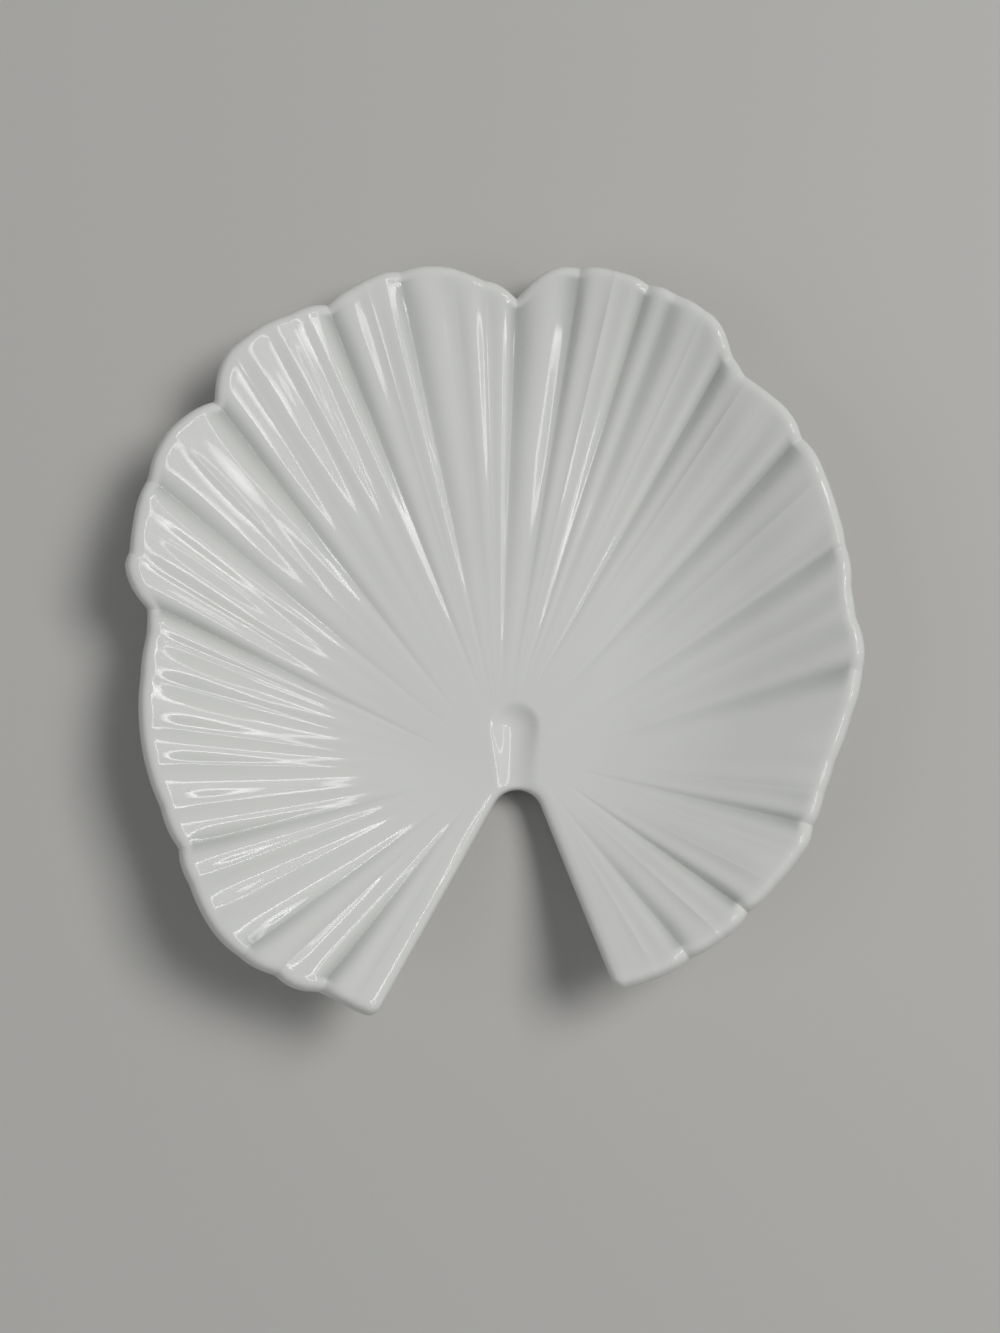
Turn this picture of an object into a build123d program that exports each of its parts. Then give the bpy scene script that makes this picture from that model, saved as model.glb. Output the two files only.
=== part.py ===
from build123d import *
import os
from math import atan2, cos, hypot, radians, sin, tan

os.makedirs("parts", exist_ok=True)

# Leaf outline, seen from above, in millimetres
leaf_reach = 85.0  # from the heart, where the pleats meet, to the farthest crest of the rim
heart_x = 2.1  # the heart's place, measured from the middle of the foot
heart_y = -20.4
hub_radius = 9.7  # smooth patch round the heart, outside which the pleats begin

# Wall and bowl
clay_wall = 3.2
glaze_coat = 0.4
floor_radius = 20.5  # flat middle of the bowl
floor_bend = 24.0  # length over which the floor turns up into the wall
wall_slope = 24.5  # degrees
back_share = 0.65  # the bowl is this much slower to rise towards the back
pleat_height = 1.3  # depth of the deepest valley at the rim, below the smooth bowl
underside_blend = 8.0  # length past the floor over which the pleats begin on the underside

# Foot that the leaf stands on
foot_height = 3.0
foot_radius = 17.5
foot_width = 4.0
foot_round = 0.8
wiped_band = 0.6  # bare clay left between the foot and the edge of the glaze

# Notch at the stalk end of the leaf. Its two sides would meet at the vertex.
notch_vertex_x = 4.6
notch_vertex_y = -15.6
notch_vertex_drop = 0.65  # below the middle of the wall
notch_bend = 6.2  # radius between the two sides
lip_corner_drop = 0.9  # of the lip's line below the middle of the wall, where it turns up
lip_corner_radius = 30.0
left_tip_turn = -151.0  # degrees round the heart, clockwise from +Y
right_tip_turn = 152.9
lip_bead = 0.15  # how far the notch's rolled lip stands proud of the wall
tip_bead = 0.10  # how far the ball at each tip stands proud of that lip

# Channel that runs from the heart into the notch, where the stalk would lie
channel_radius = 5.2
channel_depth = 1.4
channel_shift = 1.3  # its line lies this far to the left of the notch's vertex
channel_climb = 7.0  # degrees that it rises towards the notch

# Lengths that only serve the construction
overlap = 1.0  # how far one lump of clay runs into the next
step_down = 0.15  # how far a lump stops short of the face of the wall beside it
overrun = 20.0  # how far a cutter, or a section that is cut back, runs past the cut

wall_middle = foot_height + clay_wall / 2
glaze_top = foot_height + clay_wall + glaze_coat
lip_inset = clay_wall / 2 + glaze_coat

# The pleats, clockwise round the heart. Each row is a valley and the crest after it:
# turn in degrees at the rim, rim radius at the valley, rim radius at the crest,
# level of the valley and level of the crest, above or below the smooth bowl.
# The last four are shares.
pleat_shares = [
    (-157.0, 0.545, 0.550, 0.0, 0.0),
    (-149.0, 0.558, 0.561, 0.0, 0.1),
    (-141.5, 0.569, 0.592, -1.0, 0.1),
    (-134.0, 0.598, 0.618, 0.45, 0.25),
    (-127.2, 0.628, 0.641, -0.7, 0.1),
    (-118.8, 0.644, 0.647, -0.1, 0.4),
    (-112.6, 0.644, 0.648, -0.1, 0.4),
    (-106.4, 0.643, 0.656, -0.7, 0.2),
    (-99.1, 0.661, 0.675, -0.15, 0.4),
    (-91.8, 0.684, 0.692, -0.2, 0.4),
    (-85.6, 0.699, 0.708, -0.15, 0.4),
    (-78.3, 0.712, 0.722, -0.15, 0.4),
    (-72.1, 0.724, 0.733, -0.1, 0.1),
    (-67.4, 0.746, 0.802, -1.0, 0.1),
    (-62.3, 0.814, 0.833, 0.1, 0.45),
    (-57.7, 0.844, 0.859, 0.15, 0.3),
    (-52.5, 0.868, 0.891, -0.7, 0.2),
    (-46.4, 0.899, 0.899, 0.15, 0.2),
    (-39.7, 0.889, 0.930, -1.0, 0.1),
    (-34.6, 0.952, 0.963, 0.0, 0.4),
    (-30.0, 0.963, 0.966, 0.1, 0.45),
    (-26.5, 0.961, 0.962, 0.1, 0.1),
    (-21.9, 0.954, 0.967, -1.0, 0.1),
    (-16.8, 0.977, 0.984, 0.0, 0.1),
    (-12.7, 0.980, 0.983, -0.7, 0.2),
    (-6.6, 0.972, 0.963, -0.1, 0.25),
    (-2.8, 0.942, 0.932, -0.1, -0.1),
    (1.1, 0.905, 0.963, -1.0, 0.1),
    (8.5, 0.974, 0.980, -0.8, 0.2),
    (12.6, 0.977, 0.975, 0.35, 0.1),
    (16.6, 0.966, 0.967, -0.9, -0.3),
    (20.1, 0.962, 0.959, -0.6, 0.1),
    (24.1, 0.949, 0.936, 0.0, 0.0),
    (28.7, 0.902, 0.877, -1.0, -0.1),
    (32.7, 0.868, 0.865, 0.2, 0.5),
    (37.2, 0.861, 0.854, 0.25, 0.2),
    (42.7, 0.835, 0.827, -1.0, 0.0),
    (48.7, 0.811, 0.800, 0.3, 0.45),
    (54.7, 0.778, 0.771, 0.1, -0.1),
    (58.1, 0.759, 0.749, -0.6, 0.2),
    (64.1, 0.727, 0.718, -0.1, 0.25),
    (68.8, 0.709, 0.709, -0.1, 0.25),
    (76.3, 0.693, 0.675, -0.7, 0.1),
    (84.1, 0.652, 0.637, 0.1, 0.4),
    (91.8, 0.616, 0.609, 0.1, 0.35),
    (97.6, 0.600, 0.597, 0.0, 0.0),
    (103.6, 0.589, 0.590, -0.8, 0.1),
    (110.0, 0.580, 0.570, 0.2, 0.45),
    (116.7, 0.560, 0.552, 0.3, 0.1),
    (123.7, 0.539, 0.539, -1.0, 0.1),
    (131.0, 0.531, 0.524, 0.35, 0.2),
    (138.6, 0.513, 0.512, -0.7, 0.0),
    (146.2, 0.505, 0.500, 0.1, 0.0),
    (151.0, 0.496, 0.492, 0.0, 0.0),
    (159.0, 0.480, 0.480, 0.0, 0.0),
]

# How far a valley swings round between the rim and the hub: turn at the rim, swing, in degrees
valley_swing = [
    (-157.0, 3.0),
    (-141.5, 2.5),
    (-127.2, -0.8),
    (-106.4, -6.6),
    (-67.4, -18.6),
    (-52.5, -13.5),
    (-39.7, -12.3),
    (-21.9, -2.0),
    (1.1, -8.0),
    (8.5, -5.5),
    (16.6, -6.6),
    (28.7, -10.0),
    (42.7, -2.7),
    (58.1, 6.0),
    (76.3, 8.0),
    (103.6, -2.6),
    (123.7, -9.7),
    (138.6, -8.0),
    (159.0, -24.0),
]

# Places along a rib, from the hub to the lip, where its height is worked out
station_shares = (0.0, 0.08, 0.18, 0.30, 0.42, 0.54, 0.66, 0.78, 0.90, 1.0)
minor_start_share = 0.30  # where a shallow pleat begins; a deep one begins at the hub
soft_start_share = 0.15
ease_start_share = 0.86  # where the pleats begin to level out towards the lip
ease_share = 0.6
lip_corner_share = 0.6  # where the notch's lip turns up, along the bend of the floor


def between(table, turn):
    """Value at a turn, read off a table of (turn, value) pairs along straight lines."""
    for (turn_a, value_a), (turn_b, value_b) in zip(table, table[1:]):
        if turn <= turn_b:
            return value_a + (value_b - value_a) * (turn - turn_a) / (turn_b - turn_a)
    return table[-1][1]


def from_heart(turn, radius):
    """Place at a turn, clockwise from +Y, and a radius round the heart."""
    return heart_x + radius * sin(radians(turn)), heart_y + radius * cos(radians(turn))


def bowl_rise(x, y):
    """How far the smooth bowl has climbed above its floor at a place."""
    out = hypot(x, min(y, y * back_share)) - floor_radius
    steepness = tan(radians(wall_slope))
    if out <= 0:
        return 0
    if out < floor_bend:
        return steepness * out * out / (2 * floor_bend)
    return steepness * (out - floor_bend / 2)


def off_floor(x, y):
    """Zero over the flat floor and one on the wall."""
    return min(1, max(0, (hypot(x, y) - floor_radius) / underside_blend))


def strength(level):
    """Zero for a shallow valley or a crest, one for the deepest valley."""
    return max(0, -level)


def pleat_level(level, share):
    """Height of a valley or crest, above the smooth bowl, at a share of its length."""
    after = (share - minor_start_share) / (1 - minor_start_share)
    minor = (after + hypot(after, soft_start_share)) / 2
    fade = minor + (share - minor) * strength(level)
    near_lip = max(0, (share - ease_start_share) / (1 - ease_start_share)) ** 2
    return pleat_height * level * fade * (1 - ease_share * (1 - strength(level) / 2) * near_lip)


def crest_rim_share(row, following):
    """Rim radius at a crest. A pleat between shallow valleys hardly bulges the rim."""
    middle = (row[1] + following[1]) / 2
    return middle + (row[2] - middle) * max(strength(row[3]), strength(following[3]))


def lip_place(turn):
    """Middle of the lip at a turn round the heart."""
    rim_shares = []
    for row, following in zip(pleat_shares, pleat_shares[1:]):
        rim_shares.append((row[0], row[1]))
        rim_shares.append(((row[0] + following[0]) / 2, crest_rim_share(row, following)))
    x, y = from_heart(turn, leaf_reach * between(rim_shares, turn) - lip_inset)
    return Vector(x, y, wall_middle + bowl_rise(x, y))


def rib(turn, rim_share, level, grow):
    """Upright section through the wall along one valley or crest, thickened all round by grow."""
    start = from_heart(turn + between(valley_swing, turn), hub_radius)
    rim = from_heart(turn, leaf_reach * rim_share)
    length = hypot(rim[0] - start[0], rim[1] - start[1])
    along = (rim[0] - start[0]) / length, (rim[1] - start[1]) / length
    run = length - lip_inset
    half = clay_wall / 2 + grow
    nudge_share = station_shares[1] / 2

    def place(share):
        return start[0] + along[0] * run * share, start[1] + along[1] * run * share

    upper = []
    lower = []
    for share in station_shares:
        height = wall_middle + bowl_rise(*place(share))
        climb = bowl_rise(*place(share + nudge_share)) - bowl_rise(*place(share - nudge_share))
        tilt = atan2(climb, 2 * nudge_share * run)
        lift = pleat_level(level, share)
        on_wall = off_floor(*place(share))
        under = lift * on_wall + 2 * step_down * (1 - on_wall)
        upper.append((run * share - half * sin(tilt), height + lift + half * cos(tilt)))
        lower.append((run * share + half * sin(tilt), height + under - half * cos(tilt)))
    lip = (run + half * cos(tilt), height + lift + half * sin(tilt))
    upright = Plane(origin=(*start, 0), x_dir=(*along, 0), z_dir=(along[1], -along[0], 0))
    with BuildSketch(upright) as section:
        with BuildLine():
            Spline(*upper)
            ThreePointArc(upper[-1], lip, lower[-1])
            Spline(*lower[::-1])
            Line(lower[0], upper[0])
        make_face()
    return section.sketch


def pleated_wall(grow):
    """The fan of pleats, each one a loft from valley over crest to valley, sewn into one wall."""
    skins = []
    for row, following in zip(pleat_shares, pleat_shares[1:]):
        first = rib(row[0], row[1], row[3], grow)
        crest = rib((row[0] + following[0]) / 2, crest_rim_share(row, following), row[4], grow)
        last = rib(following[0], following[1], following[3], grow)
        with BuildPart() as pleat:
            loft(sections=[first, crest, last], clean=False)
        ends = pleat.faces().filter_by(GeomType.PLANE)
        first_end = ends.sort_by_distance(first.face().center())[0]
        last_end = ends.sort_by_distance(last.face().center())[0]
        skins += [face for face in pleat.faces() if face not in (first_end, last_end)]
        if row is pleat_shares[0]:
            skins.append(first_end)
    skins.append(last_end)
    return Solid(Shell(skins))


def hub(grow):
    """The smooth patch round the heart, a piece of the plain bowl."""
    half = clay_wall / 2 + grow
    steepness = tan(radians(wall_slope))
    bend_end = floor_radius + floor_bend
    bend_climb = steepness * floor_bend / 2
    reach = bend_end + overrun
    climb = bend_climb + steepness * overrun
    top = wall_middle + half - step_down
    bottom = wall_middle - half + 3 * step_down
    with BuildPart() as patch:
        with BuildSketch(Plane.XZ):
            with BuildLine():
                Line((0, top), (floor_radius, top))
                Bezier(
                    (floor_radius, top),
                    (floor_radius + floor_bend / 2, top),
                    (bend_end, top + bend_climb),
                )
                Polyline(
                    (bend_end, top + bend_climb),
                    (reach, top + climb),
                    (reach, bottom + climb),
                    (bend_end, bottom + bend_climb),
                )
                Bezier(
                    (bend_end, bottom + bend_climb),
                    (floor_radius + floor_bend / 2, bottom),
                    (floor_radius, bottom),
                )
                Polyline((floor_radius, bottom), (0, bottom), (0, top))
            make_face()
        revolve(axis=Axis.Z)
        with BuildSketch():
            with Locations((heart_x, heart_y)):
                Circle(hub_radius + overlap)
        extrude(amount=top + climb, mode=Mode.INTERSECT)
    return patch.part


def lip_corner(vertex, tip):
    """Where one side of the notch's lip turns up into the wall."""
    side = Vector(tip.X - vertex.X, tip.Y - vertex.Y).normalized()
    back = vertex.X * side.X + vertex.Y * side.Y
    reach = floor_radius + floor_bend * lip_corner_share
    along = (reach**2 - vertex.X**2 - vertex.Y**2 + back**2) ** 0.5 - back
    x = vertex.X + side.X * along
    y = vertex.Y + side.Y * along
    return Vector(x, y, wall_middle + bowl_rise(x, y) - lip_corner_drop)


def leaf(grow):
    """The whole leaf: bare clay, or with the glaze on it when it is grown by the coat."""
    half = clay_wall / 2 + grow
    left_tip = lip_place(left_tip_turn)
    right_tip = lip_place(right_tip_turn)
    vertex = Vector(notch_vertex_x, notch_vertex_y, wall_middle - notch_vertex_drop)
    left_corner = lip_corner(vertex, left_tip)
    right_corner = lip_corner(vertex, right_tip)
    far_left = left_tip + (left_tip - vertex).normalized() * overrun
    far_right = right_tip + (right_tip - vertex).normalized() * overrun
    channel_start = Vector(
        notch_vertex_x - channel_shift,
        notch_vertex_y,
        glaze_top - channel_depth + channel_radius,
    )
    down_channel = Vector(0, -cos(radians(channel_climb)), sin(radians(channel_climb)))
    with BuildPart() as body:
        add(hub(grow))
        with BuildSketch(Plane.XY.offset(foot_height - grow)):
            Circle(floor_radius)
        extrude(amount=half)
        add(pleated_wall(grow), clean=False)
        # The notch is cut along the middle of its lip, and the lip is then laid on the cut
        with BuildSketch():
            with BuildLine():
                FilletPolyline(
                    (far_left.X, far_left.Y),
                    (vertex.X, vertex.Y),
                    (far_right.X, far_right.Y),
                    radius=notch_bend,
                )
                Line((far_right.X, far_right.Y), (far_left.X, far_left.Y))
            make_face()
        extrude(amount=leaf_reach, mode=Mode.SUBTRACT)
        with BuildLine() as lip_line:
            FilletPolyline(
                left_tip,
                left_corner,
                vertex,
                right_corner,
                right_tip,
                radius=[lip_corner_radius, notch_bend, lip_corner_radius],
            )
        with BuildSketch(Plane(origin=lip_line.line @ 0, z_dir=lip_line.line % 0)):
            Circle(half + lip_bead)
        sweep(path=lip_line.line, clean=False)
        with Locations(left_tip, right_tip):
            Sphere(half + lip_bead + tip_bead)
        with BuildSketch(Plane(origin=channel_start, z_dir=down_channel)):
            Circle(channel_radius + glaze_coat - grow)
        extrude(amount=overrun, mode=Mode.SUBTRACT, clean=False)
        with Locations(channel_start):
            Sphere(channel_radius + glaze_coat - grow, mode=Mode.SUBTRACT)
    return body.part


with BuildPart() as clay_leaf:
    add(leaf(0))

with BuildPart() as foot_ring:
    with BuildSketch():
        Circle(foot_radius)
        Circle(foot_radius - foot_width, mode=Mode.SUBTRACT)
    extrude(amount=foot_height)
    fillet(foot_ring.faces().sort_by(Axis.Z)[0].edges(), radius=foot_round)

with BuildPart() as well_glaze:
    with BuildSketch(Plane.XY.offset(foot_height - glaze_coat)):
        Circle(foot_radius - foot_width - wiped_band)
    extrude(amount=glaze_coat)

# The leaf's glaze is the skin between the bare leaf and the grown one. It stops short of the
# foot, at the edge of the seat that is wiped clean.
with BuildPart() as wiped_seat:
    with BuildSketch():
        Circle(foot_radius + wiped_band)
    extrude(amount=foot_height)

with BuildPart() as grown_leaf:
    add(leaf(glaze_coat))
    add(wiped_seat.part, mode=Mode.SUBTRACT, clean=False)
seat_roof = grown_leaf.faces().filter_by(Axis.Z).sort_by(Axis.Z)[1]
outer_skin = [face for face in grown_leaf.faces() if face != seat_roof]

with BuildPart() as seated_leaf:
    add(clay_leaf.part)
    add(wiped_seat.part, clean=False)
seat_floor = seated_leaf.faces().filter_by(Axis.Z).sort_by(Axis.Z)[0]
seat_wall = seated_leaf.faces().filter_by(GeomType.CYLINDER).sort_by(Axis.Z)[0]
inner_skin = [face for face in seated_leaf.faces() if face not in (seat_floor, seat_wall)]

with BuildPart() as leaf_glaze:
    add(Solid(Shell(outer_skin + inner_skin)), clean=False)

clay_leaf.part.label = "clay_leaf"
export_step(clay_leaf.part, "parts/clay_leaf.step")
foot_ring.part.label = "foot_ring"
export_step(foot_ring.part, "parts/foot_ring.step")
leaf_glaze.part.label = "leaf_glaze"
export_step(leaf_glaze.part, "parts/leaf_glaze.step")
well_glaze.part.label = "well_glaze"
export_step(well_glaze.part, "parts/well_glaze.step")
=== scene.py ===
# %% [markdown]
# # A glazed leaf dish for rings
#
# The real thing is one fired piece: a pleated clay leaf on a low foot, with a glossy white coat.
# A CAD program has made its solids, and they are loaded here as a fixed frame. What the camera
# sees most is the glaze over the pleats, so that is the piece that this lesson makes again,
# far more finely than the solid. The foot and the bare clay stay as they are and get materials.

# %% Load the frame
from math import acos, atan2, cos, exp, hypot, pi, radians, sin, tan

import bpy
import numpy as np
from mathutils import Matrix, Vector
from mathutils.bvhtree import BVHTree


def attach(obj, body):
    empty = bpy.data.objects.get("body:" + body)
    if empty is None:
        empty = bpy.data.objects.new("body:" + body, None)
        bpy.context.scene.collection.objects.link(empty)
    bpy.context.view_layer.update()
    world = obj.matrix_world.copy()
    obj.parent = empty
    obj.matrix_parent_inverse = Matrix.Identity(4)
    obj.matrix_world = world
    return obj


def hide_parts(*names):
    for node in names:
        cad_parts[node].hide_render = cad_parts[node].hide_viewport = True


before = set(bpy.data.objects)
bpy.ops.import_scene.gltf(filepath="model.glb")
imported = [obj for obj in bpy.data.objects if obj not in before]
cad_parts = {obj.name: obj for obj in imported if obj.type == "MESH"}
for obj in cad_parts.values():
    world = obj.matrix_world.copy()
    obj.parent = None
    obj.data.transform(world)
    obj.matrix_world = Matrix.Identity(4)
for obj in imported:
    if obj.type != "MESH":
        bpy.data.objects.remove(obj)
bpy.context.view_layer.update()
print("nodes of the frame:", sorted(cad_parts))

# %% [markdown]
# ## The sizes of the leaf
#
# A pleated leaf could be sculpted by eye, but then the coat would not fit the clay under it.
# Instead the same sizes that shaped the clay are written here again, in millimetres, and the
# glaze follows from them. A few named values then let the coat differ from the clay by some
# tenths of a millimetre, where glaze runs thicker or thinner. A pleat runs from one valley over
# a crest to the next valley, so one row of the table is one valley and the crest after it.

# %% Sizes in millimetres
MILLIMETRE = 0.001
leaf_reach = 85.0  # the rim shares below are shares of this
heart = np.array([2.1, -20.4])
hub_radius = 9.7  # of the smooth patch round the heart
wall_thickness = 4.0
wall_middle = 4.6  # height of the middle of the bowl's floor over the table
floor_radius = 20.5  # the bowl is flat as far as this
floor_bend = 24.0  # and bends up to its slope over this length
wall_slope = radians(24.5)
back_share = 0.65  # the bowl is this much slower to rise towards the back
underside_blend = 8.0  # length over which the pleats begin on the underside
pleat_height = 1.3  # the unit of the levels below
notch_vertex = np.array([4.6, -15.6])
notch_bend = 6.2  # radius of the arc at the head of the notch
left_tip_turn = -151.0
right_tip_turn = 152.9
wiped_radius = 18.1  # inside it the underside is wiped clean for the foot
minor_start_share = 0.30  # where on a column a shallow valley begins; a deep one begins at the heart
soft_start_share = 0.15
ease_start_share = 0.86  # where on a column the pleats begin to level out towards the lip
ease_share = 0.7
lip_inset = wall_thickness / 2

# where the coat differs from the clay
lip_roundness = 0.72  # 1 is a round lip; less gives it flatter faces and tighter shoulders
gathered_glaze = [(-65.8, 0.6), (29.7, 0.4)]  # turn and depth, on the steep side of two scallops
gathered_width = 1.6  # degrees round the rim
sag_depth = 0.4  # how much lower the lip hangs beside the notch
sag_radius = 35.0  # where it hangs lowest, measured from the middle of the foot
sag_length = 6.0
sag_width = 5.0
leaning_turns = (20.0, 120.0)  # between these turns the pleats lean over
lean_power = 1.35

# turn at the rim in degrees clockwise from +Y, rim share at the valley, rim share at the crest,
# level of the valley and level of the crest, above or below the smooth bowl, as shares
pleat_shares = [
    (-157.0, 0.545, 0.550, 0.0, 0.0),
    (-149.0, 0.558, 0.561, 0.0, 0.1),
    (-141.5, 0.569, 0.592, -1.0, 0.1),
    (-134.0, 0.598, 0.618, 0.45, 0.25),
    (-127.2, 0.628, 0.641, -0.7, 0.1),
    (-118.8, 0.644, 0.647, -0.1, 0.4),
    (-112.6, 0.644, 0.648, -0.1, 0.4),
    (-106.4, 0.643, 0.656, -0.7, 0.2),
    (-99.1, 0.661, 0.675, -0.15, 0.4),
    (-91.8, 0.684, 0.692, -0.2, 0.4),
    (-85.6, 0.699, 0.708, -0.15, 0.4),
    (-78.3, 0.712, 0.722, -0.15, 0.4),
    (-72.1, 0.724, 0.733, -0.1, 0.1),
    (-67.4, 0.746, 0.802, -1.0, 0.1),
    (-62.3, 0.814, 0.833, 0.1, 0.45),
    (-57.7, 0.844, 0.859, 0.15, 0.3),
    (-52.5, 0.868, 0.891, -0.7, 0.2),
    (-46.4, 0.899, 0.899, 0.35, 0.2),
    (-39.7, 0.889, 0.930, -1.0, 0.1),
    (-34.6, 0.952, 0.963, 0.0, 0.4),
    (-30.0, 0.963, 0.966, 0.1, 0.45),
    (-26.5, 0.961, 0.962, 0.1, 0.1),
    (-21.9, 0.954, 0.967, -1.0, 0.1),
    (-16.8, 0.977, 0.984, 0.0, 0.1),
    (-12.7, 0.980, 0.983, -0.7, 0.2),
    (-6.6, 0.972, 0.963, -0.1, 0.25),
    (-2.8, 0.942, 0.932, -0.1, -0.1),
    (1.1, 0.905, 0.963, -1.0, 0.1),
    (8.5, 0.974, 0.980, -0.8, 0.2),
    (12.6, 0.977, 0.975, 0.35, 0.1),
    (16.6, 0.966, 0.967, -0.9, -0.3),
    (20.1, 0.962, 0.959, -0.6, 0.1),
    (24.1, 0.949, 0.936, 0.0, 0.0),
    (28.7, 0.902, 0.877, -1.0, -0.1),
    (32.7, 0.868, 0.865, 0.2, 0.5),
    (37.2, 0.861, 0.854, 0.25, 0.2),
    (42.7, 0.835, 0.827, -1.0, 0.0),
    (48.7, 0.811, 0.800, 0.3, 0.45),
    (54.7, 0.778, 0.771, 0.1, -0.1),
    (58.1, 0.759, 0.749, -0.6, 0.2),
    (64.1, 0.727, 0.718, -0.1, 0.25),
    (68.8, 0.709, 0.709, -0.1, 0.25),
    (76.3, 0.693, 0.675, -0.7, 0.1),
    (84.1, 0.652, 0.637, 0.1, 0.4),
    (91.8, 0.616, 0.609, 0.1, 0.35),
    (97.6, 0.600, 0.597, 0.0, 0.0),
    (103.6, 0.589, 0.590, -0.8, 0.1),
    (110.0, 0.580, 0.570, 0.2, 0.45),
    (116.7, 0.560, 0.552, 0.3, 0.1),
    (123.7, 0.539, 0.539, -1.0, 0.1),
    (131.0, 0.531, 0.524, 0.35, 0.2),
    (138.6, 0.513, 0.512, -0.7, 0.0),
    (146.2, 0.505, 0.500, 0.1, 0.0),
    (151.0, 0.496, 0.492, 0.0, 0.0),
    (159.0, 0.480, 0.480, 0.0, 0.0),
]
# how far a valley swings round between the rim and the hub, in degrees
valley_swing = [
    (-157.0, 3.0),
    (-141.5, 2.5),
    (-127.2, -0.8),
    (-106.4, -6.6),
    (-67.4, -18.6),
    (-52.5, -13.5),
    (-39.7, -12.3),
    (-21.9, -2.0),
    (1.1, -8.0),
    (8.5, -5.5),
    (16.6, -6.6),
    (28.7, -10.0),
    (42.7, -2.7),
    (58.1, 6.0),
    (76.3, 8.0),
    (103.6, -2.6),
    (123.7, -9.7),
    (138.6, -8.0),
    (159.0, -24.0),
]
print("pleats:", len(pleat_shares) - 1)

# %% [markdown]
# ## The plan of the leaf
#
# Pleats look right only when the mesh runs along them: then a crease is a line of edges, and a
# reflection slides smoothly from face to face. So the plan is a fan of columns, one bundle for
# each pleat, each column a straight line from the smooth patch at the heart to the rim. The
# columns lie closer together at the valleys, where the surface turns fastest.

# %% Columns of the fan
columns_a_pleat = 12
tip_gap = 0.4  # degrees beside a tip that stay free of columns


def from_heart(turn, radius):
    """Place at a turn, clockwise from +Y, and a radius round the heart."""
    angle = np.radians(turn)
    return heart + np.stack([radius * np.sin(angle), radius * np.cos(angle)], -1)


def fan_columns():
    """Turn, rim radius, place across the pleat, valley and crest level, for every column."""
    columns = []
    for row, following in zip(pleat_shares, pleat_shares[1:]):
        middle = (row[1] + following[1]) / 2
        bulge = (row[2] - middle) * max(0, -row[3], -following[3])
        lean = lean_power if leaning_turns[0] < row[0] < leaning_turns[1] else 1.0
        for step in range(columns_a_pleat):
            share = 0.5 - 0.5 * cos(pi * step / columns_a_pleat)
            turn = row[0] + (following[0] - row[0]) * share
            mean = row[1] + (following[1] - row[1]) * share
            rim = leaf_reach * (mean + bulge * 4 * share * (1 - share))
            level = row[3] + (following[3] - row[3]) * share
            columns.append((turn, rim, 1 - abs(2 * share ** lean - 1), level, row[4]))
    return np.array(columns)


columns = fan_columns()
inside = (columns[:, 0] > left_tip_turn + tip_gap) & (columns[:, 0] < right_tip_turn - tip_gap)
print("columns between the tips:", int(inside.sum()))

# %% [markdown]
# ## The lip line
#
# The lip is a rounded bead as thick as the wall, with its shoulders a little squared. Its middle
# line lies half a thickness inside the outline. Moving each point straight towards the heart
# would pinch the lip where the outline runs steeply, so every column is cut where its distance
# to the outline is half a thickness. At a deep scallop the middle line then comes out round by
# itself. Where glaze has gathered on a scallop's steep side, the line lies a little further out.

# %% Rim outline and the middle of its lip
outline_points = 2400
outline_passes = 14
lowest_cut = 0.6  # the lip's middle is looked for from this share of a column to its end
halvings = 16


def smooth(values, passes):
    """Neighbouring values evened out, with the ends kept."""
    for _ in range(passes):
        between = (values[:-2] + 2 * values[1:-1] + values[2:]) / 4
        values = np.concatenate([values[:1], between, values[-1:]])
    return values


def distance_to(points, line):
    """Distance from every point to a line of points, and the nearest place on it."""
    start, run = line[:-1], line[1:] - line[:-1]
    length = (run ** 2).sum(1)
    best = np.zeros(len(points))
    nearest = np.zeros_like(points)
    for index, point in enumerate(points):
        share = np.clip(((point - start) * run).sum(1) / length, 0, 1)
        place = start + run * share[:, None]
        gap = np.hypot(*(place - point).T)
        pick = gap.argmin()
        best[index], nearest[index] = gap[pick], place[pick]
    return best, nearest


even_turn = np.linspace(columns[0, 0], columns[-1, 0], outline_points)
even_rim = smooth(np.interp(even_turn, columns[:, 0], columns[:, 1]), outline_passes)
outline = from_heart(even_turn, even_rim)


def hub_place(turn):
    """Where a column starts, on the edge of the patch round the heart."""
    swing = np.interp(turn, *zip(*valley_swing))
    return from_heart(turn + swing, hub_radius)


def inset(turn):
    """Half the wall, and less where glaze has gathered on the steep side of a deep scallop."""
    gathered = sum(depth * np.exp(-((turn - at) / gathered_width) ** 2) for at, depth in gathered_glaze)
    return lip_inset - gathered


def lip_middle(turn):
    """Where columns end, half a wall thickness inside the outline, and the nearest outline."""
    start = hub_place(turn)
    end = from_heart(turn, np.interp(turn, even_turn, even_rim))
    low, high = np.full(len(start), lowest_cut), np.ones(len(start))
    for _ in range(halvings):
        share = (low + high) / 2
        gap, nearest = distance_to(start + (end - start) * share[:, None], outline)
        too_far_in = gap > inset(turn)
        low, high = np.where(too_far_in, share, low), np.where(too_far_in, high, share)
    place = start + (end - start) * share[:, None]
    return place, nearest


column_turn = columns[inside, 0]
column_start = hub_place(column_turn)
column_end, column_rim = lip_middle(column_turn)
print("reach of the outline:", round(float(np.ptp(outline[:, 0])), 1), "mm across")

# %% [markdown]
# ## The notch
#
# Two straight sides run from the lobes' tips towards one vertex and are joined by an arc. The
# fan's first and last column lie exactly on them, and the arc closes the patch at the heart.

# %% Middle line of the lip along the notch
notch_arc_points = 80
notch_side_points = 60


def tip_place(turn):
    """Middle of the lip at a tip of the leaf."""
    rim = np.interp(turn, even_turn, even_rim)
    return from_heart(turn, rim - lip_inset)


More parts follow.
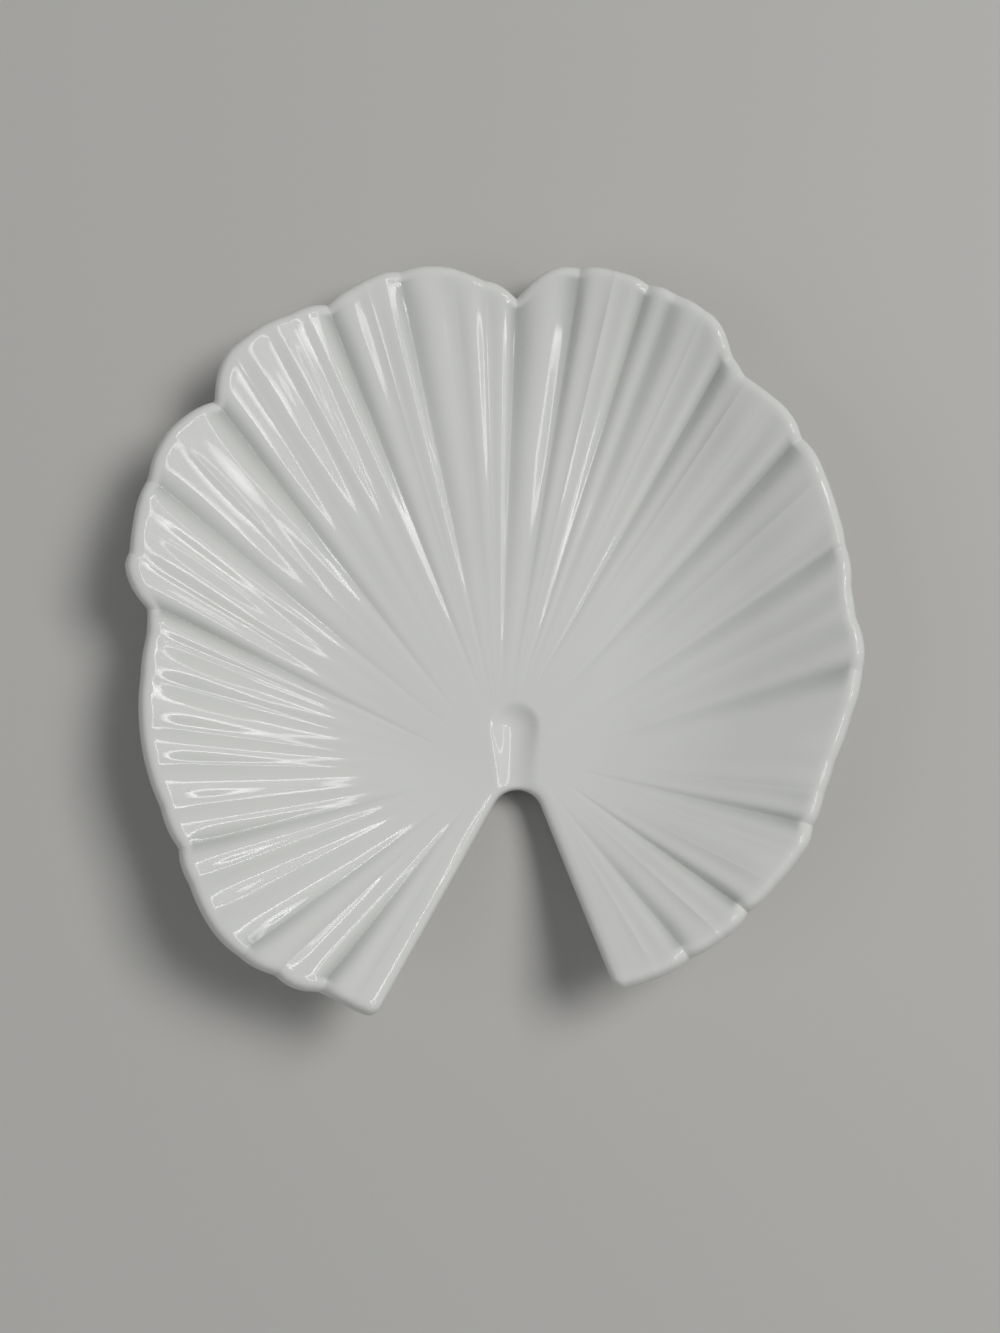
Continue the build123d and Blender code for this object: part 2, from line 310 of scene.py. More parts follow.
left_tip, right_tip = tip_place(left_tip_turn), tip_place(right_tip_turn)
to_left = (left_tip - notch_vertex) / hypot(*(left_tip - notch_vertex))
to_right = (right_tip - notch_vertex) / hypot(*(right_tip - notch_vertex))
half_notch = np.arccos(to_left @ to_right) / 2
inward = (to_left + to_right) / hypot(*(to_left + to_right))
bend_centre = notch_vertex + inward * notch_bend / sin(half_notch)
straight = notch_bend / np.tan(half_notch)
arc_left, arc_right = notch_vertex + to_left * straight, notch_vertex + to_right * straight


def notch_line():
    """The notch's middle line, from its right side over the arc to its left side."""
    angle_right = atan2(*(arc_right - bend_centre)[::-1])
    angle_left = atan2(*(arc_left - bend_centre)[::-1])
    angles = np.linspace(angle_right, angle_left, notch_arc_points)
    arc = bend_centre + notch_bend * np.stack([np.cos(angles), np.sin(angles)], -1)
    sides = np.linspace(0, 1, notch_side_points)[:, None]
    return np.concatenate([right_tip + (arc_right - right_tip) * sides[:-1], arc,
                           arc_left + (left_tip - arc_left) * sides[1:]])


notch = notch_line()
outside_hub = np.hypot(*(notch - heart).T) > hub_radius
middle = len(notch) // 2
right_gate = notch[:middle][outside_hub[:middle]][-1]
left_gate = notch[middle:][outside_hub[middle:]][0]
print("the notch meets the heart's patch at", right_gate.round(1), "and", left_gate.round(1))

# %% [markdown]
# ## The flat pattern
#
# The leaf starts as a nearly flat card with the pleats pressed into it: x and y are the plan and
# z is how far the surface lies above or below the smooth bowl. The card is doubled, a top and an
# underside joined by a strip that turns over round the lip. Three values ride on each vertex:
# how far it has turned over, which way the lip faces there, and how much painted shade it gets.

# %% Shares along a column and the height of the pleats
fan_rows = 54
heart_rings = 24
lip_steps = 12
under_rows = 28
tip_steps = 8
bend_points = 34  # round the head of the notch
valley_softness = 0.9  # millimetres over which the bottom of a valley is rounded
relative_softness = 0.3  # and as a share of half a pleat's width
steepness_across = 2.2  # how early a pleat's sides level out into its crest
heart_calm = 1.5  # how slowly a deep valley begins at the heart
shade_narrowness = 1.5  # how closely the painted shade keeps to the bottom of a valley


def spread(path, count):
    """Points spaced evenly along a line of points."""
    gaps = np.hypot(*np.diff(path, axis=0).T)
    reach = np.concatenate([[0], np.cumsum(gaps)])
    places = np.linspace(0, reach[-1], count)
    return np.stack([np.interp(places, reach, path[:, axis]) for axis in (0, 1)], -1)


def side_path(gate, tip):
    """The part of the notch line from the heart's patch to a tip, one place for each row."""
    first = int(np.hypot(*(notch - gate).T).argmin())
    part = notch[first:] if tip is left_tip else notch[first::-1]
    return spread(part, fan_rows + 1)


row_share = np.linspace(0, 1, fan_rows + 1)
fan = column_start[:, None] + (column_end - column_start)[:, None] * row_share[None, :, None]
fan = np.concatenate([side_path(left_gate, left_tip)[None], fan, side_path(right_gate, right_tip)[None]])
fan_turn = np.concatenate([[left_tip_turn], column_turn, [right_tip_turn]])
column_count = len(fan)

across = np.interp(fan_turn, columns[:, 0], columns[:, 2])
valley = np.interp(fan_turn, columns[:, 0], columns[:, 3])
crest = np.interp(fan_turn, columns[:, 0], columns[:, 4])
starts = np.array([row[0] for row in pleat_shares])
pleat_of = np.clip(np.searchsorted(starts, fan_turn, side="right") - 1, 0, len(starts) - 2)
half_angle = np.radians(starts[pleat_of + 1] - starts[pleat_of]) / 2
from_middle = np.hypot(*np.moveaxis(fan - heart, -1, 0))
softness = valley_softness / (half_angle[:, None] * from_middle) + relative_softness
rounded = np.sqrt((across[:, None] ** 2 + softness ** 2) / (1 + softness ** 2))
lowest = softness / np.sqrt(1 + softness ** 2)
strength = np.clip(-valley, 0, 1)[:, None]
hump = 1 - ((1 - rounded) / (1 - lowest)) ** steepness_across
after_start = (row_share - minor_start_share) / (1 - minor_start_share)
minor = ((after_start + np.sqrt(after_start ** 2 + soft_start_share ** 2)) / 2)[None, :]
major = (row_share ** heart_calm)[None, :]
fade = minor + (major - minor) * strength
near_lip = (np.clip((row_share - ease_start_share) / (1 - ease_start_share), 0, 1) ** 2)[None, :]
valley_part = fade * (1 - ease_share * (1 - strength / 2) * near_lip) * valley[:, None] * (1 - hump)
crest_part = minor * (1 - ease_share * near_lip) * crest[:, None] * hump
relief = pleat_height * (valley_part + crest_part)
# painted shade: a share of a darker colour laid into the bottoms of the deeper valleys, where shade falls
valley_shade = (1 - hump) ** shade_narrowness * fade * strength
print("columns:", column_count, "deepest valley:", round(float(relief.min()), 2), "mm")

# %% [markdown]
# ## From rows and columns to one closed skin
#
# The patch at the heart is a set of rings round a pole. Its edge is shared with the fan and, at
# the bottom, with the arc of the notch. Then the whole edge of the leaf is one loop: rim, right
# side, arc, left side. At a tip the loop stands still while the lip swings round it like a ball.

# %% Top of the pattern
pole = np.array([3.0, -16.5])
points, turned, facing, painted_shades = [], [], [], []
faces = []


# glaze is the vertex's painted shade, the share of the darker valley colour laid on there
def put(place, height, over=0.0, outward=(0.0, 0.0), glaze=0.0):
    """Adds a vertex to the pattern and returns its number."""
    points.append((place[0], place[1], height))
    turned.append(over)
    facing.append((outward[0], outward[1], 0.0))
    painted_shades.append(glaze)
    return len(points) - 1


def strip(upper, lower, closed):
    """Faces between two lines of vertices; where two corners are one vertex, a triangle."""
    count = len(upper)
    for index in range(count if closed else count - 1):
        following = (index + 1) % count
        corners = [upper[index], upper[following], lower[following], lower[index]]
        kept = [c for place, c in enumerate(corners) if c != corners[place - 1]]
        if len(kept) > 2:
            faces.append(kept)


fan_ids = [[put(fan[k, j], relief[k, j], glaze=valley_shade[k, j]) for j in range(fan_rows + 1)]
           for k in range(column_count)]
first_arc = int(np.hypot(*(notch - right_gate).T).argmin())
last_arc = int(np.hypot(*(notch - left_gate).T).argmin())
arc_places = spread(notch[first_arc:last_arc + 1], bend_points)[1:-1]
arc_ids = [put(place, 0.0) for place in arc_places]
edge_places = np.concatenate([fan[:, 0], arc_places])

ring = [ids[0] for ids in fan_ids] + arc_ids
for step in range(heart_rings - 1, 0, -1):
    share = step / heart_rings
    inner = [put(pole + (place - pole) * share, 0.0) for place in edge_places]
    strip(ring, inner, True)
    ring = inner
middle_id = put(pole, 0.0)
for index in range(len(ring)):
    faces.append([ring[index], ring[(index + 1) % len(ring)], middle_id])
for j in range(fan_rows):
    strip([ids[j + 1] for ids in fan_ids], [ids[j] for ids in fan_ids], False)
top_faces = list(faces)
print("top:", len(points), "vertices")

# %% The lip, turned over from the top to the underside
def left_of(run):
    """Unit direction to the left of each step, which is outwards along the loop."""
    turned_run = np.stack([-run[:, 1], run[:, 0]], -1)
    return turned_run / np.hypot(*turned_run.T)[:, None]


def swing_round(before, after):
    """Directions between two, turning clockwise."""
    start = atan2(before[1], before[0])
    angle = (start - atan2(after[1], after[0])) % (2 * pi)
    return [(cos(start - angle * s / tip_steps), sin(start - angle * s / tip_steps))
            for s in range(1, tip_steps)]


rim_out = (column_rim - column_end) / np.hypot(*(column_rim - column_end).T)[:, None]
right_ids = fan_ids[-1][::-1]
left_ids = fan_ids[0]
inner_ids = right_ids + arc_ids + left_ids
inner_places = np.array([points[i][:2] for i in inner_ids])
inner_out = left_of(np.gradient(inner_places, axis=0))
loop = [(fan_ids[k + 1][-1], tuple(rim_out[k])) for k in range(len(rim_out))]
loop += [(fan_ids[-1][-1], tuple(rim_out[-1]))]
loop += [(fan_ids[-1][-1], out) for out in swing_round(rim_out[-1], inner_out[0])]
loop += [(i, tuple(out)) for i, out in zip(inner_ids, inner_out)]
loop += [(fan_ids[0][-1], out) for out in swing_round(inner_out[-1], rim_out[0])]
loop += [(fan_ids[0][-1], tuple(rim_out[0]))]


def off_floor(place):
    """Zero under the flat floor of the bowl and one under its wall."""
    return min(1.0, max(0.0, (hypot(place[0], place[1]) - floor_radius) / underside_blend))


def lip_sag(place):
    """How far the lip hangs lower beside the notch, where it turns up with the bowl."""
    beside = float(np.hypot(*(notch - place).T).min())
    along = exp(-((hypot(place[0], place[1]) - sag_radius) / sag_length) ** 2)
    return sag_depth * along * max(0.0, 1 - beside / sag_width)


under_of = {}
for top_id, out in loop:
    if top_id not in under_of:
        x, y, height = points[top_id]
        under_of[top_id] = put((x, y), height * off_floor((x, y)) - lip_sag((x, y)), pi)
upper = [top_id for top_id, out in loop]
for step in range(1, lip_steps):
    over = pi * step / lip_steps
    blend = (1 + cos(over)) / 2
    lower = []
    for top_id, out in loop:
        x, y, height = points[top_id]
        under_height = points[under_of[top_id]][2]
        lower.append(put((x, y), under_height + (height - under_height) * blend, over, out))
    strip(lower, upper, True)
    upper = lower
strip([under_of[top_id] for top_id, out in loop], upper, True)
print("lip:", len(loop), "steps round the leaf")

# %% The underside, down to the band that is wiped clean round the foot
well_below = -9.0  # the card is felt for from here
seat_share = 0.75  # the wiped edge lies this share of half the wall under its middle
card = BVHTree.FromPolygons([Vector(p) for p in points], top_faces)
under_loop = list(dict.fromkeys(under_of[top_id] for top_id, out in loop))
under_places = np.array([points[i][:2] for i in under_loop])
seat_places = under_places / np.hypot(*under_places.T)[:, None] * wiped_radius
upper = under_loop
for step in range(1, under_rows + 1):
    share = step / under_rows
    lower = []
    for edge, seat in zip(under_places, seat_places):
        place = edge + (seat - edge) * share
        hit = card.ray_cast(Vector((place[0], place[1], well_below)), Vector((0, 0, 1)))[0]
        height = hit.z if hit else 0.0
        lower.append(put(place, height * off_floor(place) - lip_sag(place), pi))
    strip(lower, upper, True)
    upper = lower
seat_turn = pi - acos(seat_share ** (1 / lip_roundness))
lower = [put(place, 0.0, seat_turn) for place in seat_places]
strip(lower, upper, True)
middle_id = put((0.0, 0.0), 0.0, seat_turn)
for index in range(len(lower)):
    faces.append([lower[(index + 1) % len(lower)], lower[index], middle_id])


def pattern_mesh(name):
    """The pattern as a mesh, in metres, with its values on the vertices."""
    mesh = bpy.data.meshes.new(name)
    mesh.from_pydata((np.array(points) * MILLIMETRE).tolist(), [], faces)
    mesh.attributes.new("turned", "FLOAT", "POINT").data.foreach_set("value", turned)
    mesh.attributes.new("outward", "FLOAT_VECTOR", "POINT").data.foreach_set("vector", np.ravel(facing))
    mesh.attributes.new("valley_shade", "FLOAT", "POINT").data.foreach_set("value", painted_shades)
    mesh.polygons.foreach_set("use_smooth", [True] * len(mesh.polygons))
    return mesh


leaf_coat = bpy.data.objects.new("leaf_coat", pattern_mesh("leaf_coat"))
bpy.context.scene.collection.objects.link(leaf_coat)
print("pattern:", len(points), "vertices,", len(faces), "faces")

# %% [markdown]
# ## Bending the card into a bowl
#
# The bowl follows a rule: a flat floor, a bend, then one slope up to the rim, all of one
# thickness, with a channel pressed in at the heart. A rule is best kept where it can be changed,
# so it is a Geometry Nodes tree whose inputs are the bowl's sizes.

# %% A short way to add nodes to a tree
class Sums:
    """Adds nodes to a tree, one call for each."""

    def __init__(self, tree):
        self.tree = tree

    def node(self, kind, **settings):
        made = self.tree.nodes.new(kind)
        for name, value in settings.items():
            setattr(made, name, value)
        return made

    def feed(self, made, values):
        for socket, value in zip(made.inputs, values):
            if isinstance(value, bpy.types.NodeSocket):
                self.tree.links.new(value, socket)
            elif value is not None:
                socket.default_value = value

    def number(self, operation, *values):
        made = self.node("ShaderNodeMath", operation=operation)
        self.feed(made, values)
        return made.outputs[0]

    def vector(self, operation, *values, out=0):
        made = self.node("ShaderNodeVectorMath", operation=operation)
        self.feed(made, values)
        return made.outputs[out]

    def scaled(self, vector, factor):
        made = self.node("ShaderNodeVectorMath", operation="SCALE")
        self.tree.links.new(vector, made.inputs[0])
        self.tree.links.new(factor, made.inputs["Scale"])
        return made.outputs[0]

    def attribute(self, name, kind):
        made = self.node("GeometryNodeInputNamedAttribute", data_type=kind)
        made.inputs["Name"].default_value = name
        return next(s for s in made.outputs if s.enabled and s.name == "Attribute")

    def join(self, x, y, z):
        made = self.node("ShaderNodeCombineXYZ")
        self.feed(made, (x, y, z))
        return made.outputs[0]

    def split(self, vector):
        made = self.node("ShaderNodeSeparateXYZ")
        self.tree.links.new(vector, made.inputs[0])
        return made.outputs

    def noise(self, where, scale, detail):
        made = self.node("ShaderNodeTexNoise")
        self.tree.links.new(where, made.inputs["Vector"])
        made.inputs["Scale"].default_value = scale
        made.inputs["Detail"].default_value = detail
        return made.outputs["Fac"]

    def bump(self, height, distance, strength):
        made = self.node("ShaderNodeBump")
        self.tree.links.new(height, made.inputs["Height"])
        made.inputs["Distance"].default_value = distance
        made.inputs["Strength"].default_value = strength
        return made.outputs["Normal"]


# %% The tree that bends the card
channel_bank = 4000.0  # how fast the channel's floor rises beyond its half circle
bowl_sizes = {
    "Wall Middle": wall_middle * MILLIMETRE,
    "Wall Thickness": wall_thickness * MILLIMETRE,
    "Floor Radius": floor_radius * MILLIMETRE,
    "Floor Bend": floor_bend * MILLIMETRE,
    "Wall Slope": tan(wall_slope),
    "Back Share": back_share,
    "Pleat Height": 1.1,  # a tenth higher than the clay's pleats
    "Lip Roundness": lip_roundness,
    "Heart X": heart[0] * MILLIMETRE,
    "Heart Y": heart[1] * MILLIMETRE,
    "Channel X": 3.3 * MILLIMETRE,
    "Channel Y": notch_vertex[1] * MILLIMETRE,
    "Channel Radius": 5.2 * MILLIMETRE,
    "Channel Depth": 1.5 * MILLIMETRE,
    "Channel Climb": tan(radians(7.0)),
    "Channel Softness": 1.15 * MILLIMETRE,
}


def bowl_tree():
    """Bends the card into a bowl, gives it a wall and presses the channel."""
    tree = bpy.data.node_groups.new("bend_leaf", "GeometryNodeTree")
    interface = tree.interface
    interface.new_socket("Geometry", in_out="INPUT", socket_type="NodeSocketGeometry")
    for name, value in bowl_sizes.items():
        socket = interface.new_socket(name, in_out="INPUT", socket_type="NodeSocketFloat")
        socket.default_value = value
    interface.new_socket("Material", in_out="INPUT", socket_type="NodeSocketMaterial")
    interface.new_socket("Geometry", in_out="OUTPUT", socket_type="NodeSocketGeometry")
    s = Sums(tree)
    entry = tree.nodes.new("NodeGroupInput").outputs

    # how far the bowl has risen, and how steeply it rises along the pleats
    x, y, pressed = s.split(s.node("GeometryNodeInputPosition").outputs[0])
    flat = s.join(x, y, 0.0)
    front, rear = s.number("MINIMUM", y, 0.0), s.number("MAXIMUM", y, 0.0)
    eased = s.number("MULTIPLY", rear, entry["Back Share"])
    reach = s.vector("LENGTH", s.join(x, s.number("ADD", front, eased), 0.0), out=1)
    out = s.number("SUBTRACT", reach, entry["Floor Radius"])
    in_bend = s.number("MINIMUM", s.number("MAXIMUM", out, 0.0), entry["Floor Bend"])
    past_bend = s.number("MAXIMUM", s.number("SUBTRACT", out, entry["Floor Bend"]), 0.0)
    squared = s.number("DIVIDE", s.number("MULTIPLY", in_bend, in_bend),
                       s.number("MULTIPLY", entry["Floor Bend"], 2.0))
    rise = s.number("MULTIPLY", entry["Wall Slope"], s.number("ADD", squared, past_bend))
    steepness = s.number("MULTIPLY", entry["Wall Slope"], s.number("DIVIDE", in_bend, entry["Floor Bend"]))
    uphill = s.join(x, s.number("ADD", front, s.number("MULTIPLY", eased, entry["Back Share"])), 0.0)
    steeper = s.number("DIVIDE", steepness, s.number("MAXIMUM", reach, MILLIMETRE))
    heart_offset = s.join(s.number("SUBTRACT", x, entry["Heart X"]),
                          s.number("SUBTRACT", y, entry["Heart Y"]), 0.0)
    along = s.vector("NORMALIZE", heart_offset)
    climb = s.number("MULTIPLY", steeper, s.vector("DOT_PRODUCT", uphill, along, out=1))
    tilt = s.scaled(along, s.number("MULTIPLY", climb, -1.0))
    up = s.vector("NORMALIZE", s.vector("ADD", tilt, (0.0, 0.0, 1.0)))

    # the wall and its lip: up or down from the middle by half a wall, and outwards at the lip
    outward = s.attribute("outward", "FLOAT_VECTOR")
    sideways = s.scaled(up, s.number("MULTIPLY", s.vector("DOT_PRODUCT", outward, up, out=1), -1.0))
    facing_out = s.vector("NORMALIZE", s.vector("ADD", outward, sideways))
    over = s.attribute("turned", "FLOAT")
    half = s.number("DIVIDE", entry["Wall Thickness"], 2.0)
    cosine, sine = s.number("COSINE", over), s.number("SINE", over)
    squarer = s.number("POWER", s.number("ABSOLUTE", cosine), entry["Lip Roundness"])
    level = s.number("MULTIPLY", squarer, s.number("SIGN", cosine))
    beyond_middle = s.number("POWER", s.number("MAXIMUM", sine, 0.0), entry["Lip Roundness"])
    from_middle = s.vector("ADD", s.scaled(up, s.number("MULTIPLY", half, level)),
                           s.scaled(facing_out, s.number("MULTIPLY", half, beyond_middle)))
    height = s.number("ADD", s.number("ADD", entry["Wall Middle"], rise),
                      s.number("MULTIPLY", pressed, entry["Pleat Height"]))
    bent = s.vector("ADD", s.vector("ADD", flat, from_middle), s.join(0.0, 0.0, height))

    # the channel: a round bar with a ball end, sunk into the top and climbing towards the notch
    bent_x, bent_y, bent_z = s.split(bent)
    down = s.number("SUBTRACT", entry["Channel Y"], bent_y)
    past = s.number("MAXIMUM", down, 0.0)
    before = s.number("MINIMUM", down, 0.0)
    beside = s.number("SUBTRACT", bent_x, entry["Channel X"])
    gap = s.number("ADD", s.number("MULTIPLY", beside, beside), s.number("MULTIPLY", before, before))
    radius = entry["Channel Radius"]
    widest = s.number("MULTIPLY", radius, radius)
    fall = s.number("SQRT", s.number("MAXIMUM", s.number("SUBTRACT", widest, gap), 0.0))
    top = s.number("ADD", entry["Wall Middle"], half)
    axis = s.number("ADD", s.number("SUBTRACT", s.number("ADD", top, radius), entry["Channel Depth"]),
                    s.number("MULTIPLY", past, entry["Channel Climb"]))
    beyond = s.number("MAXIMUM", s.number("SUBTRACT", gap, widest), 0.0)
    bottom = s.number("ADD", s.number("SUBTRACT", axis, fall), s.number("MULTIPLY", beyond, channel_bank))
    cut = s.number("SMOOTH_MIN", bent_z, bottom, entry["Channel Softness"])
    on_top = s.number("MULTIPLY", s.number("ADD", cosine, 1.0), 0.5)
    drop = s.number("MULTIPLY", s.number("SUBTRACT", cut, bent_z), on_top)

    move = s.node("GeometryNodeSetPosition")
    tree.links.new(entry["Geometry"], move.inputs["Geometry"])
    tree.links.new(s.vector("ADD", bent, s.join(0.0, 0.0, drop)), move.inputs["Position"])
    real = s.node("GeometryNodeRealizeInstances")
    tree.links.new(move.outputs[0], real.inputs[0])
    finish = s.node("GeometryNodeSetMaterial")
    tree.links.new(real.outputs[0], finish.inputs["Geometry"])
    tree.links.new(entry["Material"], finish.inputs["Material"])
    leave = s.node("NodeGroupOutput")
    tree.links.new(finish.outputs[0], leave.inputs[0])
    return tree


# %% [markdown]
# ## The glaze and the bare clay
#
# Glaze is a layer of glass over a white body. Painted shade makes the valleys cooler and darker
# than the crests. Tiny waves and a few pinholes keep the reflections from looking like plastic.
# The effect is a node group, so that another glaze could use it with colours of its own. The
# glaze that pools in the well under the foot is the same glaze and shares the material.

# %% A group that gives glaze its colour with painted shade, and its waves
cloud_scale, cloud_detail, cloud_share = 60.0, 3.0, 0.25  # uneven thickness
swell_scale, swell_detail = 160.0, 1.0  # tiny waves
pinhole_scale, pinhole_radius, pinhole_depth = 95.0, 0.025, 0.4
least_roughness, more_roughness = 0.06, 0.05


def new_material(name):
    """A node material with its Principled BSDF."""
    material = bpy.data.materials.new(name)
    material.use_nodes = True
    return material, material.node_tree.nodes["Principled BSDF"]


def glaze_group():
    """Colour with painted shade in the valleys and random clouding, a height for its waves, and its
    roughness.
    """
    tree = bpy.data.node_groups.new("glaze_layer", "ShaderNodeTree")
    for in_out, name, kind in (("INPUT", "Valley Shade", "Float"), ("INPUT", "Glaze Colour", "Color"),
                               ("INPUT", "Painted Shade Colour", "Color"), ("OUTPUT", "Colour", "Color"),
                               ("OUTPUT", "Waves", "Float"), ("OUTPUT", "Roughness", "Float")):
        tree.interface.new_socket(name, in_out=in_out, socket_type="NodeSocket" + kind)
    s = Sums(tree)
    entry = tree.nodes.new("NodeGroupInput").outputs
    where = s.node("ShaderNodeTexCoord").outputs["Object"]
    cloud = s.noise(where, cloud_scale, cloud_detail)
    uneven = s.number("MULTIPLY", s.number("SUBTRACT", cloud, 0.5), cloud_share)
    # painted shade in the valleys plus random clouds of uneven glaze set how far the colour turns to the
    # darker one
    depth = s.number("ADD", entry["Valley Shade"], uneven)
    mix = s.node("ShaderNodeMix", data_type="RGBA", clamp_factor=True)
    tree.links.new(depth, mix.inputs["Factor"])
    tree.links.new(entry["Glaze Colour"], next(i for i in mix.inputs if i.name == "A" and i.type == "RGBA"))
    tree.links.new(entry["Painted Shade Colour"], next(i for i in mix.inputs if i.name == "B" and i.type == "RGBA"))
    swell = s.noise(where, swell_scale, swell_detail)
    pit = s.node("ShaderNodeTexVoronoi")
    tree.links.new(where, pit.inputs["Vector"])
    pit.inputs["Scale"].default_value = pinhole_scale
    hole = s.number("MINIMUM", s.number("DIVIDE", pit.outputs["Distance"], pinhole_radius), 1.0)
    waves = s.number("ADD", swell, s.number("MULTIPLY", hole, pinhole_depth))
    roughness = s.number("ADD", least_roughness, s.number("MULTIPLY", cloud, more_roughness))
    leave = s.node("NodeGroupOutput")
    tree.links.new(next(o for o in mix.outputs if o.type == "RGBA"), leave.inputs["Colour"])
    tree.links.new(waves, leave.inputs["Waves"])
    tree.links.new(roughness, leave.inputs["Roughness"])
    return tree


# %% The glaze and the clay
def glaze_material(layer):
    """Glossy white glaze, with painted shade in its valleys."""
    material, shader = new_material("white_glaze")
    tree = material.node_tree
    s = Sums(tree)
    group = s.node("ShaderNodeGroup", node_tree=layer)
    group.inputs["Glaze Colour"].default_value = (0.78, 0.785, 0.755, 1)
    # the darker, cooler colour is painted shade for the valley bottoms
    group.inputs["Painted Shade Colour"].default_value = (0.50, 0.515, 0.49, 1)
    shade_here = s.node("ShaderNodeAttribute", attribute_name="valley_shade")
    tree.links.new(shade_here.outputs["Fac"], group.inputs["Valley Shade"])
    tree.links.new(group.outputs["Colour"], shader.inputs["Base Color"])
    tree.links.new(group.outputs["Roughness"], shader.inputs["Roughness"])
    ripples = s.bump(group.outputs["Waves"], distance=0.00004, strength=0.12)
    tree.links.new(ripples, shader.inputs["Normal"])
    shader.inputs["IOR"].default_value = 1.52
    return material


def clay_material():
    """Bare fired clay, matt and faintly speckled."""
    material, shader = new_material("bare_clay")
    tree = material.node_tree
    s = Sums(tree)
    where = s.node("ShaderNodeTexCoord").outputs["Object"]
    grain = s.noise(where, scale=1400.0, detail=6.0)
    ramp = s.node("ShaderNodeValToRGB")
    ramp.color_ramp.elements[0].position = 0.3
    ramp.color_ramp.elements[0].color = (0.60, 0.56, 0.50, 1)
    ramp.color_ramp.elements[1].position = 0.6
    ramp.color_ramp.elements[1].color = (0.72, 0.69, 0.64, 1)
    tree.links.new(grain, ramp.inputs["Fac"])
    tree.links.new(ramp.outputs["Color"], shader.inputs["Base Color"])
    tree.links.new(s.bump(grain, distance=0.0001, strength=0.6), shader.inputs["Normal"])
    shader.inputs["Roughness"].default_value = 0.85
    return material


white_glaze = glaze_material(glaze_group())
bare_clay = clay_material()

# %% Bend the leaf and make it a plain mesh
def apply_tree(piece, tree, sizes, material):
    """Runs a tree on a piece with named sizes and keeps the result as its mesh."""
    modifier = piece.modifiers.new("shape", "NODES")
    modifier.node_group = tree
    for item in tree.interface.items_tree:
        if item.in_out == "INPUT" and item.name in sizes:
            modifier[item.identifier] = sizes[item.name]
        if item.in_out == "INPUT" and item.name == "Material":
            modifier[item.identifier] = material
    graph = bpy.context.evaluated_depsgraph_get()
    mesh = bpy.data.meshes.new_from_object(piece.evaluated_get(graph), depsgraph=graph)
    piece.modifiers.remove(modifier)
    piece.data = mesh
    return mesh


coat_mesh = apply_tree(leaf_coat, bowl_tree(), bowl_sizes, white_glaze)
print("leaf coat:", len(coat_mesh.polygons), "faces")

# %% Foot, clay and well keep the frame's solids
for node, material in (("clay_leaf", bare_clay), ("foot_ring", bare_clay), ("well_glaze", white_glaze)):
    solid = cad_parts[node]
    solid.data.materials.clear()
    solid.data.materials.append(material)

# %% [markdown]
# ## Floor, light and camera
#
# Soft daylight comes from the upper right and a weak fill from the left; neither of them shows
# in the glaze. What shows in it is a window in the daylight's place, a dim pane between two
# bright edges and under a bright head, so the pleats carry long thin reflections in pairs. A
# pale sky lifts the shadows. The camera looks almost straight down, from a little below the
# notch.

# %% Floor
floor_reach = 4.0
floor_mesh = bpy.data.meshes.new("floor")
floor_mesh.from_pydata([(-floor_reach, -floor_reach, 0.0), (floor_reach, -floor_reach, 0.0),
                        (floor_reach, floor_reach, 0.0), (-floor_reach, floor_reach, 0.0)],
                       [], [(0, 1, 2, 3)])
floor = bpy.data.objects.new("floor", floor_mesh)
bpy.context.scene.collection.objects.link(floor)
floor_finish, floor_shader = new_material("pale_floor")
floor_shader.inputs["Base Color"].default_value = (0.56, 0.55, 0.53, 1)
floor_shader.inputs["Roughness"].default_value = 0.55
floor.data.materials.append(floor_finish)

# %% Light
lamp_distance = 1.4
from_window = (69.0, 55.0)  # azimuth and elevation in degrees
from_fill = (-110.0, 40.0)
window_width, window_height = 0.64, 0.56
strip_width = 0.05
daylight_width, daylight_height = 0.50, 0.45
fill_width, fill_height = 1.0, 1.0
brightness = {"daylight": 7.6, "fill": 0.75, "window": 4.0, "window_edge": 8.0, "window_head": 4.5}
sky_light, seen_sky = 0.15, 0.3  # what the sky gives, and what the camera sees of it on top


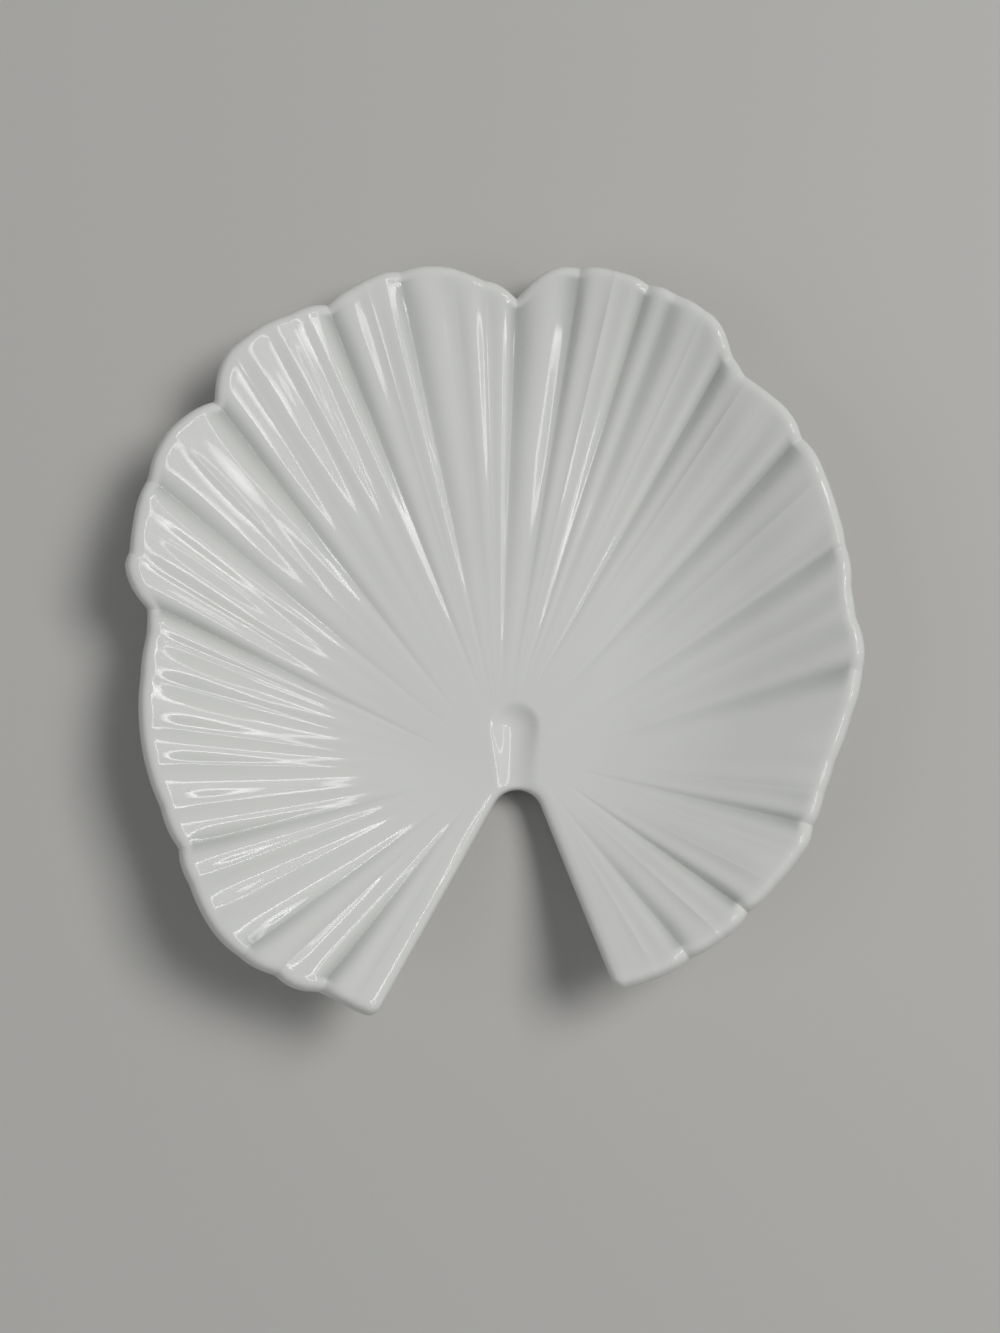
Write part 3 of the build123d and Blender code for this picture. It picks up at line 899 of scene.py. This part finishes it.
def pane(name, direction, across, up, width, height, glossy=True):
    """A lamp in an upright frame that faces the dish, of the brightness that its name has."""
    azimuth, elevation = direction
    away = Vector((sin(radians(azimuth)) * cos(radians(elevation)),
                   cos(radians(azimuth)) * cos(radians(elevation)), sin(radians(elevation))))
    turn = away.to_track_quat("Z", "Y")
    lamp = bpy.data.lights.new(name, "AREA")
    lamp.shape = "RECTANGLE"
    lamp.size, lamp.size_y = width, height
    lamp.energy = brightness[name] * pi * width * height
    made = bpy.data.objects.new(name, lamp)
    bpy.context.scene.collection.objects.link(made)
    made.location = away * lamp_distance + turn @ Vector((across, up, 0.0))
    made.rotation_mode = "QUATERNION"
    made.rotation_quaternion = turn
    made.visible_glossy = glossy
    return made


pane("daylight", from_window, 0.0, 0.0, daylight_width, daylight_height, glossy=False)
pane("fill", from_fill, 0.0, 0.0, fill_width, fill_height, glossy=False)
pane("window", from_window, 0.0, 0.0, window_width, window_height)
for side in (-1, 1):
    beside = side * (window_width + strip_width) / 2
    pane("window_edge", from_window, beside, 0.0, strip_width, window_height)
above = (window_height + strip_width) / 2
pane("window_head", from_window, 0.0, above, window_width, strip_width)
world = bpy.data.worlds.new("soft_room")
world.use_nodes = True
world.node_tree.nodes["Background"].inputs["Color"].default_value = (0.95, 0.98, 1.0, 1)
seen = world.node_tree.nodes.new("ShaderNodeLightPath")
strength_here = world.node_tree.nodes.new("ShaderNodeMath")
strength_here.operation = "MULTIPLY_ADD"
strength_here.inputs[1].default_value = seen_sky
strength_here.inputs[2].default_value = sky_light
world.node_tree.links.new(seen.outputs["Is Camera Ray"], strength_here.inputs[0])
world.node_tree.links.new(strength_here.outputs[0], world.node_tree.nodes["Background"].inputs["Strength"])
bpy.context.scene.world = world

# %% Camera
camera_tilt = radians(6.0)
camera_distance = 0.335
lens = bpy.data.cameras.new("camera")
lens.sensor_fit = "AUTO"
lens.lens = 56.0
camera = bpy.data.objects.new("camera", lens)
bpy.context.scene.collection.objects.link(camera)
aim = Vector((0.0008, -0.0065, 0.015))
back = Vector((0.0, -sin(camera_tilt), cos(camera_tilt)))
camera.location = aim + back * camera_distance
camera.rotation_mode = "QUATERNION"
camera.rotation_quaternion = back.to_track_quat("Z", "Y")
bpy.context.scene.camera = camera
bpy.context.scene.view_settings.view_transform = "Standard"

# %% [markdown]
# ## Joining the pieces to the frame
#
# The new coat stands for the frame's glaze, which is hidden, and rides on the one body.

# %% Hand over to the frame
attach(leaf_coat, "root")
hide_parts("leaf_glaze")
